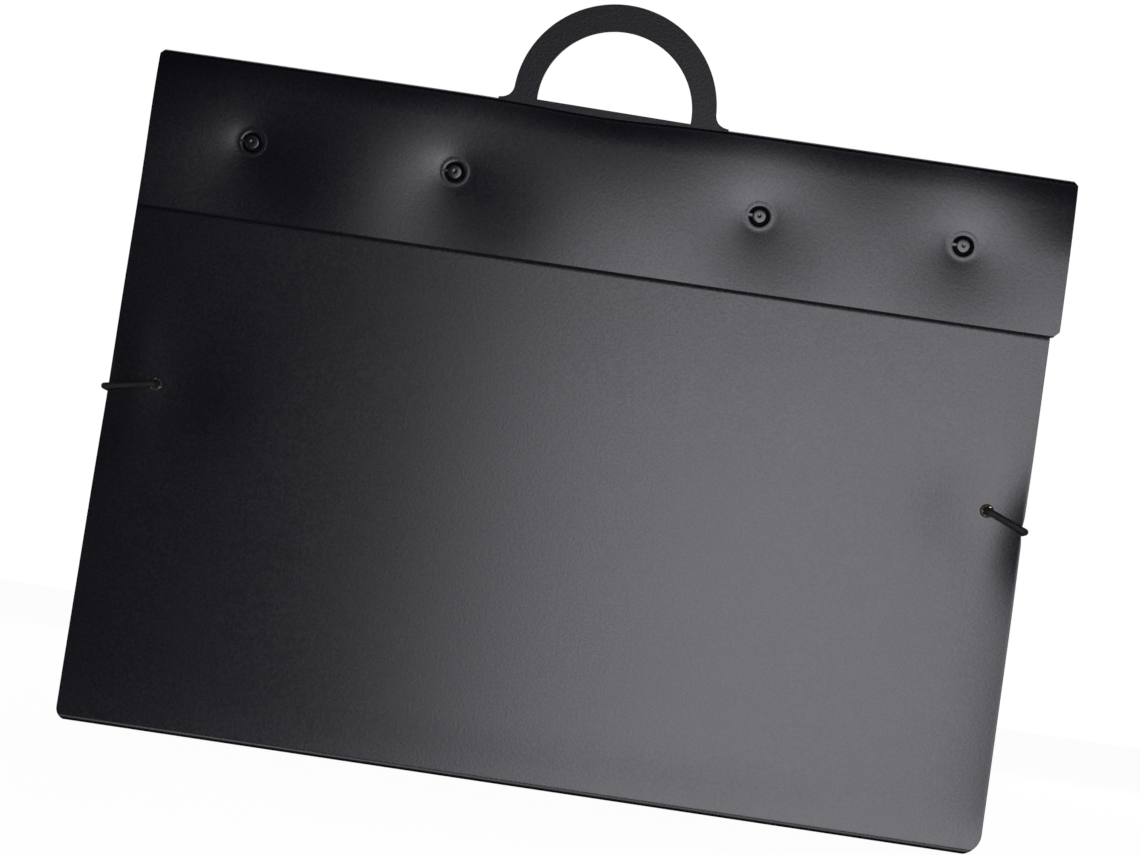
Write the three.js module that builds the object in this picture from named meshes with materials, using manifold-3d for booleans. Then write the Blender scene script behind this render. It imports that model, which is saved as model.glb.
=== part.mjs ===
// A2 portfolio case: a creased sheet body with a fold-over flap, four press studs, a die-cut
// handle that passes through the top, and an elastic cord across each open side.
// Millimetres, +Z up, the front faces -Y. The origin is on the underside of the base panel.
import * as THREE from 'three';
import * as BufferGeometryUtils from 'three/addons/utils/BufferGeometryUtils.js';
import Module from 'manifold-3d';

// Driving dimensions
const CASE_HEIGHT = 474;
const CASE_DEPTH = 26;
const FLAP_WIDTH = 650;
const FLAP_HEIGHT = 112.5;
const PANEL_WIDTH = 644;
const FRONT_PANEL_TOP = 436;
const SHEET = 1.2;
const SEAT_GAP = 0.3; // clearance kept between pieces that seat on each other
const FLAP_TO_PANEL = 6.5; // flap's inner face to the front panel's outer face

// Planes of the sheets, by depth
const FLAP_OUTER = -CASE_DEPTH / 2;
const FLAP_INNER = FLAP_OUTER + SHEET;
const BACK_OUTER = CASE_DEPTH / 2;
const BACK_INNER = BACK_OUTER - SHEET;
const PANEL_OUTER = FLAP_INNER + FLAP_TO_PANEL;
const PANEL_INNER = PANEL_OUTER + SHEET;

// Left and right edges: the flap and the panels are flush on the left
const FLAP_LEFT = -FLAP_WIDTH / 2;
const FLAP_RIGHT = FLAP_WIDTH / 2;
const PANEL_LEFT = FLAP_LEFT;
const PANEL_RIGHT = PANEL_LEFT + PANEL_WIDTH;
const LEFT_CORNER = 8;
const RIGHT_CORNER = 15;
const TOP_CORNER = 3.5;
const FLAP_LOW_CORNER = 6;
const PANEL_TOP_CORNER = 4;

// Press studs
const STUD_HEIGHT = CASE_HEIGHT - 57;
const STUD_PLACES = [-251, -107.5, 107.5, 251];
const DISH_DEPTH = 3;
const DISH_RADIUS = 40;
const DISH_FLOOR_RADIUS = 12;
const FLAP_STUD_HOLE = 8.5;
const PANEL_STUD_HOLE = 2.3;

// Handle
const HANDLE_CENTRE = -3.8;
const HANDLE_THICKNESS = 2;
const HANDLE_BACK = PANEL_OUTER - 1;
const HANDLE_FRONT = HANDLE_BACK - HANDLE_THICKNESS;
const LOOP_OUTER_RADIUS = 71.5;
const LOOP_OUTER_HEIGHT = CASE_HEIGHT + 4;
const LOOP_INNER_RADIUS = 54.5;
const LOOP_INNER_HEIGHT = CASE_HEIGHT + 1.5;
const STRIP_LEFT_RISE = 2.3; // the foot strip's top edge above the case, at each leg
const STRIP_RIGHT_RISE = 0.5;
const NECK_HALF_WIDTH = LOOP_OUTER_RADIUS + 10;
const HIDDEN_PLATE_HALF_WIDTH = 130;
const HIDDEN_PLATE_BOTTOM = 392;
const HIDDEN_PLATE_CORNER = 12;
const SOCKET_CLEARANCE_HOLE = 7;

// Elastic cords, eyelets and barbs
const CORD_DIAMETER = 4;
const CORD_SIDES = 8;
const CORD_STEPS = 44;
const CORD_HOLE = 3.5;
const LEFT_HOLE = { x: PANEL_LEFT + 33, z: CASE_HEIGHT - 234.5 };
const RIGHT_HOLE = { x: PANEL_RIGHT - 26, z: CASE_HEIGHT - 237.5 };
const BARB_RADIUS = 1.1;
const BARB_LENGTH = 12;

const wasm = await Module();
wasm.setup();

// ---------------------------------------------------------------- solids

function toSolid(geometry) {
  const bare = geometry.clone();
  bare.deleteAttribute('normal');
  bare.deleteAttribute('uv');
  const merged = BufferGeometryUtils.mergeVertices(bare, 1e-4);
  return new wasm.Manifold(new wasm.Mesh({
    numProp: 3,
    vertProperties: new Float32Array(merged.attributes.position.array),
    triVerts: new Uint32Array(merged.index.array),
  }));
}

function toGeometry(solid) {
  const mesh = solid.getMesh();
  const geometry = new THREE.BufferGeometry();
  geometry.setAttribute('position', new THREE.BufferAttribute(mesh.vertProperties, 3));
  geometry.setIndex(new THREE.BufferAttribute(mesh.triVerts, 1));
  geometry.computeVertexNormals();
  return geometry;
}

function circleHole(x, z, radius) {
  const hole = new THREE.Path();
  hole.absarc(x, z, radius, 0, 2 * Math.PI, true);
  return hole;
}

// An upright sheet cut to an outline in X and Z, from depth y to y + thickness
function uprightSheet(outline, y, thickness, curveSegments = 8) {
  const geometry = new THREE.ExtrudeGeometry(outline, {
    depth: thickness,
    bevelEnabled: false,
    curveSegments,
  });
  geometry.rotateX(Math.PI / 2);
  geometry.translate(0, y + thickness, 0);
  return geometry;
}

// A level sheet cut to an outline in X and Y, from height z up
function levelSheet(outline, z, thickness) {
  const geometry = new THREE.ExtrudeGeometry(outline, {
    depth: thickness,
    bevelEnabled: false,
    curveSegments: 8,
  });
  geometry.translate(0, 0, z);
  return geometry;
}

// A piece turned about a line along Y: profile points are [radius, depth]
function turned(profile, segments) {
  const points = profile.map(([radius, y]) => new THREE.Vector2(radius, y));
  return new THREE.LatheGeometry(points, segments);
}

// ---------------------------------------------------------------- materials

const sheetBlack = new THREE.MeshStandardMaterial({ color: 0x1c1c1e, roughness: 0.5 });
const glossBlack = new THREE.MeshStandardMaterial({ color: 0x18181a, roughness: 0.2 });
const mouldedBlack = new THREE.MeshStandardMaterial({ color: 0x141416, roughness: 0.6 });
const elasticBlack = new THREE.MeshStandardMaterial({ color: 0x0c0c0d, roughness: 0.9 });
const brass = new THREE.MeshStandardMaterial({ color: 0x6b5632, roughness: 0.4, metalness: 1 });
const steel = new THREE.MeshStandardMaterial({ color: 0x8f9092, roughness: 0.35, metalness: 1 });

const portfolioCase = new THREE.Group();

function addPiece(name, geometry, material, x = 0, z = 0) {
  const mesh = new THREE.Mesh(geometry, material);
  mesh.name = name;
  mesh.position.set(x, 0, z);
  portfolioCase.add(mesh);
}

// ---------------------------------------------------------------- sheet body

function panelOutline(bottom, top, topCorner) {
  const outline = new THREE.Shape();
  outline.moveTo(PANEL_LEFT + LEFT_CORNER, bottom);
  outline.lineTo(PANEL_RIGHT - RIGHT_CORNER, bottom);
  const rightCentre = PANEL_RIGHT - RIGHT_CORNER;
  outline.absarc(rightCentre, bottom + RIGHT_CORNER, RIGHT_CORNER, -Math.PI / 2, 0);
  outline.lineTo(PANEL_RIGHT, top - topCorner);
  outline.lineTo(PANEL_RIGHT - topCorner, top);
  outline.lineTo(PANEL_LEFT + topCorner, top);
  outline.lineTo(PANEL_LEFT, top - topCorner);
  outline.lineTo(PANEL_LEFT, bottom + LEFT_CORNER);
  const leftCentre = PANEL_LEFT + LEFT_CORNER;
  outline.absarc(leftCentre, bottom + LEFT_CORNER, LEFT_CORNER, Math.PI, 1.5 * Math.PI);
  for (const hole of [LEFT_HOLE, RIGHT_HOLE]) {
    outline.holes.push(circleHole(hole.x, hole.z, CORD_HOLE));
  }
  return outline;
}

function backPanel() {
  return uprightSheet(panelOutline(0, CASE_HEIGHT, TOP_CORNER), BACK_INNER, SHEET);
}

function frontPanel() {
  const bottom = SHEET + SEAT_GAP;
  const outline = panelOutline(bottom, FRONT_PANEL_TOP, PANEL_TOP_CORNER);
  for (const x of STUD_PLACES) {
    outline.holes.push(circleHole(x, STUD_HEIGHT, PANEL_STUD_HOLE));
  }
  return uprightSheet(outline, PANEL_OUTER, SHEET);
}

function basePanel() {
  const outline = new THREE.Shape();
  outline.moveTo(PANEL_LEFT + LEFT_CORNER, PANEL_OUTER);
  outline.lineTo(PANEL_RIGHT - RIGHT_CORNER, PANEL_OUTER);
  outline.lineTo(PANEL_RIGHT - RIGHT_CORNER, BACK_INNER - SEAT_GAP);
  outline.lineTo(PANEL_LEFT + LEFT_CORNER, BACK_INNER - SEAT_GAP);
  outline.closePath();
  return levelSheet(outline, 0, SHEET);
}

function topPanel() {
  const front = FLAP_INNER + SEAT_GAP;
  const back = BACK_INNER - SEAT_GAP;
  const outline = new THREE.Shape();
  outline.moveTo(FLAP_LEFT + TOP_CORNER, front);
  outline.lineTo(FLAP_RIGHT - TOP_CORNER, front);
  outline.lineTo(FLAP_RIGHT - TOP_CORNER, back);
  outline.lineTo(FLAP_LEFT + TOP_CORNER, back);
  outline.closePath();

  const slotClearance = 0.4;
  const slot = new THREE.Path();
  const slotLeft = HANDLE_CENTRE - NECK_HALF_WIDTH - slotClearance;
  const slotRight = HANDLE_CENTRE + NECK_HALF_WIDTH + slotClearance;
  slot.moveTo(slotLeft, HANDLE_FRONT - slotClearance);
  slot.lineTo(slotLeft, HANDLE_BACK + slotClearance);
  slot.lineTo(slotRight, HANDLE_BACK + slotClearance);
  slot.lineTo(slotRight, HANDLE_FRONT - slotClearance);
  slot.closePath();
  outline.holes.push(slot);
  return levelSheet(outline, CASE_HEIGHT - SHEET, SHEET);
}

// A dish pressed into the flap: the same frustum is added behind and cut away in front
function dish(x, y) {
  const frustum = turned([
    [0, -1],
    [DISH_RADIUS + (DISH_RADIUS - DISH_FLOOR_RADIUS) / DISH_DEPTH, -1],
    [DISH_FLOOR_RADIUS, DISH_DEPTH],
    [0, DISH_DEPTH],
  ], 20);
  frustum.translate(x, y, STUD_HEIGHT);
  return toSolid(frustum);
}

function flap() {
  const bottom = CASE_HEIGHT - FLAP_HEIGHT;
  const outline = new THREE.Shape();
  outline.moveTo(FLAP_LEFT, bottom);
  outline.lineTo(FLAP_RIGHT - FLAP_LOW_CORNER, bottom);
  outline.lineTo(FLAP_RIGHT, bottom + FLAP_LOW_CORNER);
  outline.lineTo(FLAP_RIGHT, CASE_HEIGHT - TOP_CORNER);
  outline.lineTo(FLAP_RIGHT - TOP_CORNER, CASE_HEIGHT);
  outline.lineTo(FLAP_LEFT + TOP_CORNER, CASE_HEIGHT);
  outline.lineTo(FLAP_LEFT, CASE_HEIGHT - TOP_CORNER);
  outline.closePath();

  const frontSlab = 6;
  let sheet = toSolid(uprightSheet(outline, FLAP_OUTER, SHEET));
  const frontSpace = toSolid(uprightSheet(outline, FLAP_OUTER - frontSlab, frontSlab));
  for (const x of STUD_PLACES) {
    sheet = sheet.add(dish(x, FLAP_INNER).subtract(frontSpace));
    sheet = sheet.subtract(dish(x, FLAP_OUTER));
    const hole = turned([[0, -20], [FLAP_STUD_HOLE, -20], [FLAP_STUD_HOLE, 20], [0, 20]], 16);
    hole.translate(x, 0, STUD_HEIGHT);
    sheet = sheet.subtract(toSolid(hole));
  }
  return toGeometry(sheet);
}

// ---------------------------------------------------------------- handle

function handle() {
  const left = HANDLE_CENTRE - HIDDEN_PLATE_HALF_WIDTH;
  const right = HANDLE_CENTRE + HIDDEN_PLATE_HALF_WIDTH;
  const bottom = HIDDEN_PLATE_BOTTOM;
  const shoulder = CASE_HEIGHT - SHEET - 1;
  const corner = HIDDEN_PLATE_CORNER;
  const footHeight = CASE_HEIGHT + 0.6;
  const footRise = 3;
  const footAngle = Math.asin(footRise / LOOP_OUTER_RADIUS);
  const footReach = LOOP_OUTER_RADIUS * Math.cos(footAngle);

  const outline = new THREE.Shape();
  outline.moveTo(left + corner, bottom);
  outline.lineTo(right - corner, bottom);
  outline.absarc(right - corner, bottom + corner, corner, -Math.PI / 2, 0);
  outline.lineTo(right, shoulder);
  outline.lineTo(HANDLE_CENTRE + NECK_HALF_WIDTH, shoulder);
  outline.lineTo(HANDLE_CENTRE + NECK_HALF_WIDTH, footHeight);
  outline.quadraticCurveTo(
    HANDLE_CENTRE + footReach + 1, footHeight + 0.6,
    HANDLE_CENTRE + footReach, LOOP_OUTER_HEIGHT + footRise,
  );
  outline.absarc(
    HANDLE_CENTRE, LOOP_OUTER_HEIGHT, LOOP_OUTER_RADIUS, footAngle, Math.PI - footAngle,
  );
  outline.quadraticCurveTo(
    HANDLE_CENTRE - footReach - 1, footHeight + 0.6,
    HANDLE_CENTRE - NECK_HALF_WIDTH, footHeight,
  );
  outline.lineTo(HANDLE_CENTRE - NECK_HALF_WIDTH, shoulder);
  outline.lineTo(left, shoulder);
  outline.lineTo(left, bottom + corner);
  outline.absarc(left + corner, bottom + corner, corner, Math.PI, 1.5 * Math.PI);

  const stripHeight = CASE_HEIGHT - LOOP_INNER_HEIGHT;
  const rightEnd = Math.asin((stripHeight + STRIP_RIGHT_RISE) / LOOP_INNER_RADIUS);
  const leftEnd = Math.PI - Math.asin((stripHeight + STRIP_LEFT_RISE) / LOOP_INNER_RADIUS);
  const fingerHole = new THREE.Path();
  fingerHole.absarc(HANDLE_CENTRE, LOOP_INNER_HEIGHT, LOOP_INNER_RADIUS, rightEnd, leftEnd);
  fingerHole.closePath();
  outline.holes.push(fingerHole);
  for (const x of STUD_PLACES.slice(1, 3)) {
    outline.holes.push(circleHole(x, STUD_HEIGHT, SOCKET_CLEARANCE_HOLE));
  }
  return uprightSheet(outline, HANDLE_FRONT, HANDLE_THICKNESS, 14);
}

// ---------------------------------------------------------------- press studs

const DISH_FLOOR_OUTER = FLAP_OUTER + DISH_DEPTH;
const DISH_FLOOR_INNER = DISH_FLOOR_OUTER + SHEET;
const CAP_RADIUS = 10.6;
const CAP_BARREL_RADIUS = FLAP_STUD_HOLE - SEAT_GAP;
const CAP_RIM = DISH_FLOOR_OUTER - SEAT_GAP - 0.9;
const GROOVE_OUTER_RADIUS = 7.7;
const GROOVE_INNER_RADIUS = 4.9;
const GROOVE_FLOOR = DISH_FLOOR_OUTER + 0.7;
const CAP_BACK = DISH_FLOOR_INNER + 0.1;
const CAP_STEM_RADIUS = 2.5;
const SOCKET_RADIUS = 6;
const SOCKET_BORE_RADIUS = 3.3;
const SOCKET_FRONT = CAP_BACK + SEAT_GAP;
const SOCKET_STEP = SOCKET_FRONT + 0.8;
const SOCKET_BACK = SOCKET_FRONT + 1.9;
const CAP_STEM_END = SOCKET_STEP - SEAT_GAP;
const POST_FLANGE_FRONT = SOCKET_BACK + SEAT_GAP;
const POST_FLANGE_BACK = PANEL_OUTER - SEAT_GAP;
const POST_TIP = SOCKET_STEP;
const POST_RADIUS = 1.7;
const RIVET_RADIUS = PANEL_STUD_HOLE - SEAT_GAP;
const WASHER_FRONT = PANEL_INNER + SEAT_GAP;
const WASHER_THICKNESS = 0.8;

// The cap: a rim that slopes into a deep ring groove, a domed disc in the middle, and a bridge
function studCap() {
  const cup = toSolid(turned([
    [0, CAP_STEM_END],
    [0, CAP_RIM - 0.1],
    [1.3, CAP_RIM - 0.1],
    [1.7, CAP_RIM - 0.3],
    [3.4, CAP_RIM - 0.2],
    [GROOVE_INNER_RADIUS, CAP_RIM + 0.5],
    [GROOVE_INNER_RADIUS, GROOVE_FLOOR],
    [GROOVE_OUTER_RADIUS, GROOVE_FLOOR],
    [GROOVE_OUTER_RADIUS, CAP_RIM + 0.5],
    [8.8, CAP_RIM],
    [9.9, CAP_RIM],
    [CAP_RADIUS, CAP_RIM + 0.5],
    [CAP_RADIUS, DISH_FLOOR_OUTER - SEAT_GAP],
    [CAP_BARREL_RADIUS, DISH_FLOOR_OUTER - SEAT_GAP],
    [CAP_BARREL_RADIUS, CAP_BACK],
    [CAP_STEM_RADIUS, CAP_BACK],
    [CAP_STEM_RADIUS, CAP_STEM_END],
    [0, CAP_STEM_END],
  ], 20));
  const bridgeWidth = 1.8;
  const bridgeLength = 4;
  const bridgeDepth = GROOVE_FLOOR - CAP_RIM - 0.5;
  const bridge = new THREE.BoxGeometry(bridgeLength, bridgeDepth, bridgeWidth);
  const bridgeCentre = -(GROOVE_INNER_RADIUS + GROOVE_OUTER_RADIUS) / 2;
  bridge.translate(bridgeCentre, GROOVE_FLOOR - bridgeDepth / 2 + 0.2, 0);
  return toGeometry(cup.add(toSolid(bridge)));
}

function studSocket() {
  return turned([
    [CAP_STEM_RADIUS + SEAT_GAP, SOCKET_FRONT],
    [SOCKET_RADIUS, SOCKET_FRONT],
    [SOCKET_RADIUS, SOCKET_BACK - 0.3],
    [SOCKET_RADIUS - 0.3, SOCKET_BACK],
    [SOCKET_BORE_RADIUS, SOCKET_BACK],
    [SOCKET_BORE_RADIUS, SOCKET_STEP],
    [CAP_STEM_RADIUS + SEAT_GAP, SOCKET_STEP],
    [CAP_STEM_RADIUS + SEAT_GAP, SOCKET_FRONT],
  ], 16);
}

function studPost() {
  return turned([
    [0, POST_TIP],
    [POST_RADIUS - 0.3, POST_TIP],
    [POST_RADIUS, POST_TIP + 0.3],
    [POST_RADIUS, POST_FLANGE_FRONT],
    [SOCKET_RADIUS, POST_FLANGE_FRONT],
    [SOCKET_RADIUS, POST_FLANGE_BACK],
    [RIVET_RADIUS, POST_FLANGE_BACK],
    [RIVET_RADIUS, WASHER_FRONT + WASHER_THICKNESS],
    [0, WASHER_FRONT + WASHER_THICKNESS],
  ], 16);
}

function studWasher() {
  return turned([
    [PANEL_STUD_HOLE, WASHER_FRONT],
    [SOCKET_RADIUS, WASHER_FRONT],
    [SOCKET_RADIUS, WASHER_FRONT + WASHER_THICKNESS],
    [PANEL_STUD_HOLE, WASHER_FRONT + WASHER_THICKNESS],
    [PANEL_STUD_HOLE, WASHER_FRONT],
  ], 16);
}

// ---------------------------------------------------------------- cords

// outward is -1 on the front panel and 1 on the back panel
function eyelet(face, outward) {
  const bore = 2.4;
  const barrel = CORD_HOLE - SEAT_GAP;
  const flangeRadius = 4.8;
  const seat = face + outward * SEAT_GAP;
  const top = seat + outward * 0.6;
  const profile = [
    [bore, face - outward * (SHEET - 0.1)],
    [barrel, face - outward * (SHEET - 0.1)],
    [barrel, seat],
    [flangeRadius, seat],
    [flangeRadius, seat + outward * 0.3],
    [flangeRadius - 0.6, top],
    [bore + 0.5, top],
    [bore, seat + outward * 0.2],
    [bore, face - outward * (SHEET - 0.1)],
  ];
  if (outward > 0) {
    profile.reverse();
  }
  return turned(profile.reverse(), 16);
}

function barb(panelInner, inward) {
  const half = BARB_LENGTH / 2;
  const profile = [[0, -half], [0.7, -half], [BARB_RADIUS, -half + 0.5]];
  profile.push([BARB_RADIUS, half - 0.5], [0.7, half], [0, half]);
  const rod = turned(profile, 10);
  rod.rotateX(Math.PI / 2);
  rod.translate(0, panelInner + inward * (SEAT_GAP + BARB_RADIUS), 0);
  return rod;
}

// The routes run from the barb inside the front panel, out of its eyelet, round both panels'
// side edges and back in through the rear eyelet.
const LEFT_ROUTE = [
  [-292, -4.3, 239.5], [-292, -6.2, 239.5], [-292.8, -8.0, 239.4], [-294.8, -8.8, 239.1],
  [-299, -8.7, 238.4], [-305, -7.9, 237.3], [-313, -7.6, 235.7], [-323.6, -7.5, 233.6],
  [-326.8, -6.9, 233.1], [-327.5, -4.2, 233.0], [-327.5, 3.8, 233.0], [-327.5, 11.9, 233.0],
  [-326.8, 14.6, 233.1], [-323.6, 15.2, 233.6], [-313, 15.3, 235.7], [-305, 15.6, 237.3],
  [-299, 16.4, 238.4], [-294.8, 16.5, 239.1], [-292.8, 15.7, 239.4], [-292, 13.9, 239.5],
  [-292, 12.0, 239.5],
];
const RIGHT_ROUTE = [
  [293, -4.3, 236.5], [293, -6.2, 236.5], [293.7, -8.0, 236.3], [295.5, -8.8, 235.7],
  [299.5, -8.7, 234.3], [304.5, -7.9, 232.3], [310, -7.6, 230.2], [318, -7.5, 227.0],
  [320.8, -6.9, 226.0], [321.5, -4.2, 225.7], [321.5, 3.8, 225.6], [321.5, 11.9, 225.7],
  [320.8, 14.6, 226.0], [318, 15.2, 227.0], [310, 15.3, 230.2], [304.5, 15.6, 232.3],
  [299.5, 16.4, 234.3], [295.5, 16.5, 235.7], [293.7, 15.7, 236.3], [293, 13.9, 236.5],
  [293, 12.0, 236.5],
];

function cord(route) {
  const points = route.map(([x, y, z]) => new THREE.Vector3(x, y, z));
  const section = new THREE.Shape();
  for (let side = 0; side < CORD_SIDES; side += 1) {
    const angle = (2 * Math.PI * side) / CORD_SIDES;
    const x = (CORD_DIAMETER / 2) * Math.cos(angle);
    const y = (CORD_DIAMETER / 2) * Math.sin(angle);
    if (side === 0) {
      section.moveTo(x, y);
    } else {
      section.lineTo(x, y);
    }
  }
  section.closePath();
  return new THREE.ExtrudeGeometry(section, {
    steps: CORD_STEPS,
    extrudePath: new THREE.CatmullRomCurve3(points),
    bevelEnabled: false,
  });
}

// ---------------------------------------------------------------- assembly

addPiece('back_panel', backPanel(), sheetBlack);
addPiece('base_panel', basePanel(), sheetBlack);
addPiece('front_panel', frontPanel(), sheetBlack);
addPiece('top_panel', topPanel(), sheetBlack);
addPiece('flap', flap(), sheetBlack);
addPiece('handle', handle(), sheetBlack);

STUD_PLACES.forEach((x, index) => {
  const number = index + 1;
  addPiece(`stud_cap_${number}`, studCap(), glossBlack, x, STUD_HEIGHT);
  addPiece(`stud_socket_${number}`, studSocket(), mouldedBlack, x, STUD_HEIGHT);
  addPiece(`stud_post_${number}`, studPost(), mouldedBlack, x, STUD_HEIGHT);
  addPiece(`stud_washer_${number}`, studWasher(), mouldedBlack, x, STUD_HEIGHT);
});

const SIDES = [['left', LEFT_HOLE, LEFT_ROUTE], ['right', RIGHT_HOLE, RIGHT_ROUTE]];
for (const [side, hole, route] of SIDES) {
  addPiece(`elastic_cord_${side}`, cord(route), elasticBlack);
  addPiece(`eyelet_front_${side}`, eyelet(PANEL_OUTER, -1), brass, hole.x, hole.z);
  addPiece(`eyelet_rear_${side}`, eyelet(BACK_OUTER, 1), brass, hole.x, hole.z);
  addPiece(`cord_barb_front_${side}`, barb(PANEL_INNER, 1), steel, hole.x, hole.z);
  addPiece(`cord_barb_rear_${side}`, barb(BACK_INNER, -1), steel, hole.x, hole.z);
}

export default portfolioCase;
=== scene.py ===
# %% [markdown]
# # An A2 portfolio case, piece by piece
# The packed CAD model is the fixed frame: it says where every piece sits and how it moves.
# Here each CAD solid gets its real surface: bent board, pressed dimples, moulded studs and
# braided cord. All lengths are in metres, in the same frame as the CAD.

import math

import bmesh
import bpy
import numpy as np
from mathutils import Matrix, Vector


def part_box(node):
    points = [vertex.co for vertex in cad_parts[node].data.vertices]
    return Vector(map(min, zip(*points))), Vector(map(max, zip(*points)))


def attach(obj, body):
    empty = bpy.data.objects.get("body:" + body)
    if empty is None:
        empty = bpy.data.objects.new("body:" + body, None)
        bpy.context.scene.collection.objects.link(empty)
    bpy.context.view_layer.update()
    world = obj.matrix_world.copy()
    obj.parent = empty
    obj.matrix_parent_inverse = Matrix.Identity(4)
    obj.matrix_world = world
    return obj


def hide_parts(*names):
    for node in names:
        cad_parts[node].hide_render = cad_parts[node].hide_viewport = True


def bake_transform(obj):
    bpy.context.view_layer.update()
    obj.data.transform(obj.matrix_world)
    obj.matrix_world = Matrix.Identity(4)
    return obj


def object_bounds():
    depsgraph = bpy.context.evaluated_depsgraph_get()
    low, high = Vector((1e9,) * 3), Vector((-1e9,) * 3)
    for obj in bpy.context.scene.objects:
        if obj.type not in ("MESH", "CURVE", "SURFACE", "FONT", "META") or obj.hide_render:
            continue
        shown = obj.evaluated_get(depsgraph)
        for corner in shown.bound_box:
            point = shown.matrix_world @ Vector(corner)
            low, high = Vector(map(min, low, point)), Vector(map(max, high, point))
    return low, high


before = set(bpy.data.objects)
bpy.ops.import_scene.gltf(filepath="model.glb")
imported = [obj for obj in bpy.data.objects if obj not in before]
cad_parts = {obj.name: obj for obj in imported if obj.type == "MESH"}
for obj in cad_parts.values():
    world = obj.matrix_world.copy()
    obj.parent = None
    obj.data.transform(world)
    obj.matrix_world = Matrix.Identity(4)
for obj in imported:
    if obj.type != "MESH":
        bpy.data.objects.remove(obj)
cad_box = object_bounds()
MM = 0.001
print("nodes:", len(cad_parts))

# %% [markdown]
# ## Driving dimensions
# The CAD boxes give the planes of the sheets and the heights of the folds, so the pieces below
# follow the frame if it changes. Only the shape between those planes is chosen here.

# %% Driving dimensions
SHEET = 1.2 * MM
flap_low, flap_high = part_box("flap")
front_low, front_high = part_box("front_panel")
back_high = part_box("back_panel")[1]
handle_low, handle_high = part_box("handle")

CASE_TOP = flap_high.z
FLAP_BOTTOM = flap_low.z
FLAP_OUTER = flap_low.y
FRONT_OUTER = front_low.y
BACK_OUTER = back_high.y
PANEL_LEFT = front_low.x
PANEL_RIGHT = front_high.x
FRONT_TOP = front_high.z


def centre(node):
    low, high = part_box(node)
    return (low + high) / 2


STUDS = [centre(f"stud_cap_{number}") for number in range(1, 5)]
DISH_DEPTH = 3 * MM
DISH_FLOOR = FLAP_OUTER + DISH_DEPTH
print("stud places:", [round(place.x, 4) for place in STUDS])

# %% [markdown]
# ## Camera
# A flat thing wants a long lens, because a short one would splay its straight sides. The camera
# stands slightly below the middle of the case. The case looks tilted. Turning the case could do
# that, but its joints would no longer line up with the frame, so the camera is rolled instead and
# the case stands upright on its base.

# %% Camera
CAMERA_AZIMUTH = math.radians(1.10)
CAMERA_ELEVATION = math.radians(-4.03)
CAMERA_ROLL = math.radians(8.47)
CAMERA_DISTANCE = 2.0
CAMERA_AIM = Vector((-0.0017, 0.0, 0.252))

view_line = Vector((
    -math.sin(CAMERA_AZIMUTH) * math.cos(CAMERA_ELEVATION),
    math.cos(CAMERA_AZIMUTH) * math.cos(CAMERA_ELEVATION),
    -math.sin(CAMERA_ELEVATION),
))
level_right = view_line.cross(Vector((0, 0, 1))).normalized()
level_up = level_right.cross(view_line)
camera_x = level_right * math.cos(CAMERA_ROLL) + level_up * math.sin(CAMERA_ROLL)
camera_y = level_up * math.cos(CAMERA_ROLL) - level_right * math.sin(CAMERA_ROLL)

camera_data = bpy.data.cameras.new("camera")
camera_data.sensor_width = 36
camera_data.lens = 90.49
camera_data.clip_end = 50
camera = bpy.data.objects.new("camera", camera_data)
bpy.context.collection.objects.link(camera)
turn = Matrix((camera_x, camera_y, -view_line)).transposed().to_4x4()
camera.matrix_world = Matrix.Translation(CAMERA_AIM - view_line * CAMERA_DISTANCE) @ turn
bpy.context.scene.camera = camera
print("camera at", [round(value, 3) for value in camera.matrix_world.translation])

# %% [markdown]
# ## Shader arithmetic
# A material is a sum of small patterns. This class wraps one socket of a node tree, so the
# patterns can be added and multiplied with plain operators. Its one other method makes any node.

# %% The socket class
class Socket:
    def __init__(self, tree, source=None):
        self.tree = tree
        self.source = source

    def plug(self, entry):
        self.tree.links.new(self.source, entry)

    def node(self, kind, output=0, settings=None, inputs=None):
        made = self.tree.nodes.new(kind)
        for name, value in (settings or {}).items():
            setattr(made, name, value)
        for name, value in (inputs or {}).items():
            if isinstance(value, Socket):
                value.plug(made.inputs[name])
            else:
                made.inputs[name].default_value = value
        return Socket(self.tree, made.outputs[output])

    def math(self, operation, first, second):
        return self.node("ShaderNodeMath", 0, {"operation": operation}, {0: first, 1: second})

    def __add__(self, other):
        return self.math("ADD", self, other)

    def __radd__(self, other):
        return self.math("ADD", other, self)

    def __sub__(self, other):
        return self.math("SUBTRACT", self, other)

    def __rsub__(self, other):
        return self.math("SUBTRACT", other, self)

    def __mul__(self, other):
        return self.math("MULTIPLY", self, other)

    def __rmul__(self, other):
        return self.math("MULTIPLY", other, self)


print("socket methods:", [name for name in vars(Socket) if not name.startswith("_")])

# %% [markdown]
# ## Light
# Black board shows almost nothing but the reflection of its lights. Several small lamps would
# show as spots, so one tall soft strip beside the camera gives the long gradient from a dark left
# side to a bright right side. Its top ends just above the case, so surfaces that tilt upward turn
# dark and the pressed dimples read as hollows. Weak panels at the side and behind show the other
# sides.

# %% Lamps
def soft_panel(name, place, target, width, height, strength, colour=(1, 1, 1)):
    light = bpy.data.lights.new(name, "AREA")
    light.shape = "RECTANGLE"
    light.size = width
    light.size_y = height
    light.energy = strength * width * height
    light.color = colour
    lamp = bpy.data.objects.new(name, light)
    bpy.context.collection.objects.link(lamp)
    aim = Vector(target) - Vector(place)
    lamp.matrix_world = (
        Matrix.Translation(Vector(place)) @ aim.to_track_quat("-Z", "Y").to_matrix().to_4x4()
    )
    lamp.visible_camera = False
    return lamp


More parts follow.
